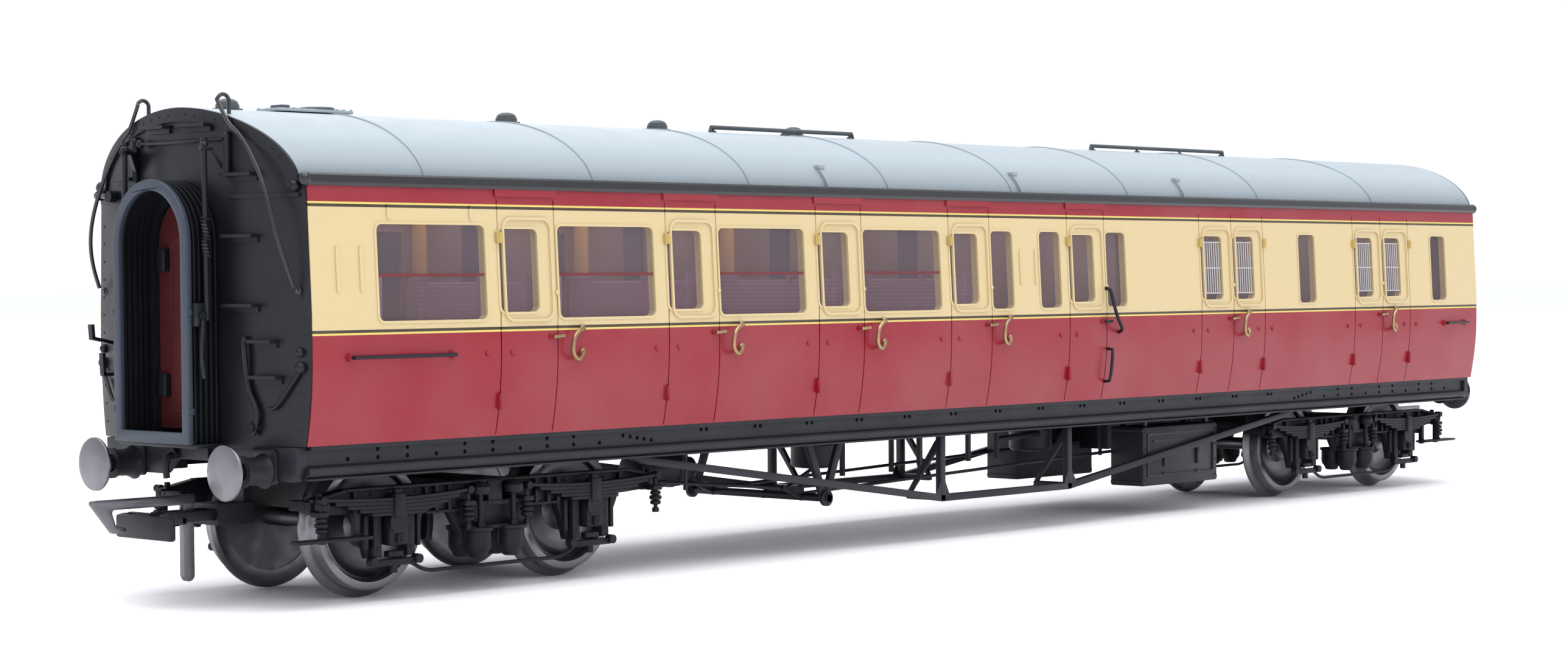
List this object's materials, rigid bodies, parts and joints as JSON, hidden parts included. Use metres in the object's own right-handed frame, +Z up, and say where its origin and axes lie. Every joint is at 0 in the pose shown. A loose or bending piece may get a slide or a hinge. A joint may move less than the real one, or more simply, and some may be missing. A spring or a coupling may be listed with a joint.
{
  "type": "model passenger coach",
  "caption": "Corridor brake coach for 16.5 mm gauge model railways: bow-ended body on two swivelling bogies, with sprung buffers and hook couplings.",
  "frame": {"origin": "on the surface the wheel flanges stand on, under the middle of the coach", "axes": "+X along the coach to the guard's end, -Y to the compartment side, +Z up"},
  "size_m": [0.2578, 0.037, 0.0526],
  "materials": {
    "crimson_and_cream_body": "satin painted plastic in crimson below the waist and cream above it, lined in yellow and black",
    "roof_grey": "satin grey painted plastic",
    "moulded_black": "satin black moulded plastic",
    "blackened_steel": "blackened turned steel",
    "bright_steel": "bright turned steel",
    "clear_glazing": "clear polished plastic",
    "interior_brown": "moulded plastic, painted",
    "door_brown": "satin moulded plastic"
  },
  "bodies": {
    "coach": {"body_shell": "crimson_and_cream_body", "roof": "roof_grey", "roof_vent_1": "moulded_black", "roof_vent_2": "moulded_black", "roof_vent_3": "moulded_black", "roof_vent_4": "moulded_black", "tank_cover": "roof_grey", "roof_pipe_1": "moulded_black", "roof_pipe_2": "moulded_black", "glazing_compartment_side": "clear_glazing", "glazing_corridor_side": "clear_glazing", "interior_moulding": "interior_brown", "ballast_weight": "blackened_steel", "gangway_bellows_a": "moulded_black", "gangway_faceplate_a": "moulded_black", "gangway_door_a": "door_brown", "gangway_bellows_b": "moulded_black", "gangway_faceplate_b": "moulded_black", "gangway_door_b": "door_brown", "underframe": "moulded_black", "truss_compartment_side": "moulded_black", "truss_corridor_side": "moulded_black", "battery_box_compartment_side": "moulded_black", "battery_box_corridor_side": "moulded_black", "vacuum_cylinder_1": "moulded_black", "vacuum_cylinder_2": "moulded_black", "dynamo": "moulded_black", "brake_shaft": "moulded_black", "bogie_pivot_pin_a": "blackened_steel", "bogie_pivot_pin_b": "blackened_steel", "end_handrail_a_compartment_side": "moulded_black", "end_handrail_a_corridor_side": "moulded_black"},
    "bogie_a": {"bogie_frame_a": "moulded_black"},
    "wheelset_1": {"axle_1": "blackened_steel", "wheel_1_compartment_side": "blackened_steel", "wheel_1_corridor_side": "blackened_steel"},
    "wheelset_2": {"axle_2": "blackened_steel", "wheel_2_compartment_side": "blackened_steel", "wheel_2_corridor_side": "blackened_steel"},
    "buffer_a_compartment_side": {"buffer_a_compartment_side": "bright_steel"},
    "buffer_a_corridor_side": {"buffer_a_corridor_side": "bright_steel"},
    "coupling_slider_a": {"coupling_slider_a": "moulded_black"},
    "coupling_a": {"coupling_drawbar_a": "moulded_black", "coupling_head_a": "moulded_black"},
    "coupling_hook_a": {"coupling_hook_a": "blackened_steel"},
    "bogie_b": {"bogie_frame_b": "moulded_black"},
    "wheelset_3": {"axle_3": "blackened_steel", "wheel_3_compartment_side": "blackened_steel", "wheel_3_corridor_side": "blackened_steel"},
    "wheelset_4": {"axle_4": "blackened_steel", "wheel_4_compartment_side": "blackened_steel", "wheel_4_corridor_side": "blackened_steel"},
    "buffer_b_compartment_side": {"buffer_b_compartment_side": "bright_steel"},
    "buffer_b_corridor_side": {"buffer_b_corridor_side": "bright_steel"},
    "coupling_slider_b": {"coupling_slider_b": "moulded_black"},
    "coupling_b": {"coupling_drawbar_b": "moulded_black", "coupling_head_b": "moulded_black"},
    "coupling_hook_b": {"coupling_hook_b": "blackened_steel"}
  },
  "joints": [
    {"name": "bogie_a_swivel", "type": "hinge", "parent": "coach", "child": "bogie_a", "pos_m": [-0.0871, 0, 0.0132], "axis": [0, 0, 1], "range_deg": [-12, 12]},
    {"name": "wheelset_1_spin", "type": "hinge", "parent": "bogie_a", "child": "wheelset_1", "pos_m": [-0.1011, 0, 0.00785], "axis": [0, 1, 0], "continuous": true},
    {"name": "wheelset_2_spin", "type": "hinge", "parent": "bogie_a", "child": "wheelset_2", "pos_m": [-0.0731, 0, 0.00785], "axis": [0, 1, 0], "continuous": true},
    {"name": "buffer_a_compartment_side_slide", "type": "slide", "parent": "coach", "child": "buffer_a_compartment_side", "axis": [1, 0, 0], "range_m": [0, 0.0012], "stiffness_N_per_m": 120},
    {"name": "buffer_a_corridor_side_slide", "type": "slide", "parent": "coach", "child": "buffer_a_corridor_side", "axis": [1, 0, 0], "range_m": [0, 0.0012], "stiffness_N_per_m": 120},
    {"name": "coupling_a_extend", "type": "slide", "parent": "coach", "child": "coupling_slider_a", "axis": [-1, 0, 0], "range_m": [0, 0.002], "stiffness_N_per_m": 40},
    {"name": "coupling_a_swing", "type": "hinge", "parent": "coupling_slider_a", "child": "coupling_a", "pos_m": [-0.1058, 0, 0.0127], "axis": [0, 0, 1], "range_deg": [-12, 12], "stiffness_Nm_per_rad": 0.002},
    {"name": "coupling_hook_a_lift", "type": "hinge", "parent": "coupling_a", "child": "coupling_hook_a", "pos_m": [-0.1173, 0, 0.0093], "axis": [0, 1, 0], "range_deg": [0, 20]},
    {"name": "bogie_b_swivel", "type": "hinge", "parent": "coach", "child": "bogie_b", "pos_m": [0.0871, 0, 0.0132], "axis": [0, 0, 1], "range_deg": [-12, 12]},
    {"name": "wheelset_3_spin", "type": "hinge", "parent": "bogie_b", "child": "wheelset_3", "pos_m": [0.0731, 0, 0.00785], "axis": [0, 1, 0], "continuous": true},
    {"name": "wheelset_4_spin", "type": "hinge", "parent": "bogie_b", "child": "wheelset_4", "pos_m": [0.1011, 0, 0.00785], "axis": [0, 1, 0], "continuous": true},
    {"name": "buffer_b_compartment_side_slide", "type": "slide", "parent": "coach", "child": "buffer_b_compartment_side", "axis": [-1, 0, 0], "range_m": [0, 0.0012], "stiffness_N_per_m": 120},
    {"name": "buffer_b_corridor_side_slide", "type": "slide", "parent": "coach", "child": "buffer_b_corridor_side", "axis": [-1, 0, 0], "range_m": [0, 0.0012], "stiffness_N_per_m": 120},
    {"name": "coupling_b_extend", "type": "slide", "parent": "coach", "child": "coupling_slider_b", "axis": [1, 0, 0], "range_m": [0, 0.002], "stiffness_N_per_m": 40},
    {"name": "coupling_b_swing", "type": "hinge", "parent": "coupling_slider_b", "child": "coupling_b", "pos_m": [0.1058, 0, 0.0127], "axis": [0, 0, 1], "range_deg": [-12, 12], "stiffness_Nm_per_rad": 0.002},
    {"name": "coupling_hook_b_lift", "type": "hinge", "parent": "coupling_b", "child": "coupling_hook_b", "pos_m": [0.1173, 0, 0.0093], "axis": [0, -1, 0], "range_deg": [0, 20]}
  ]
}
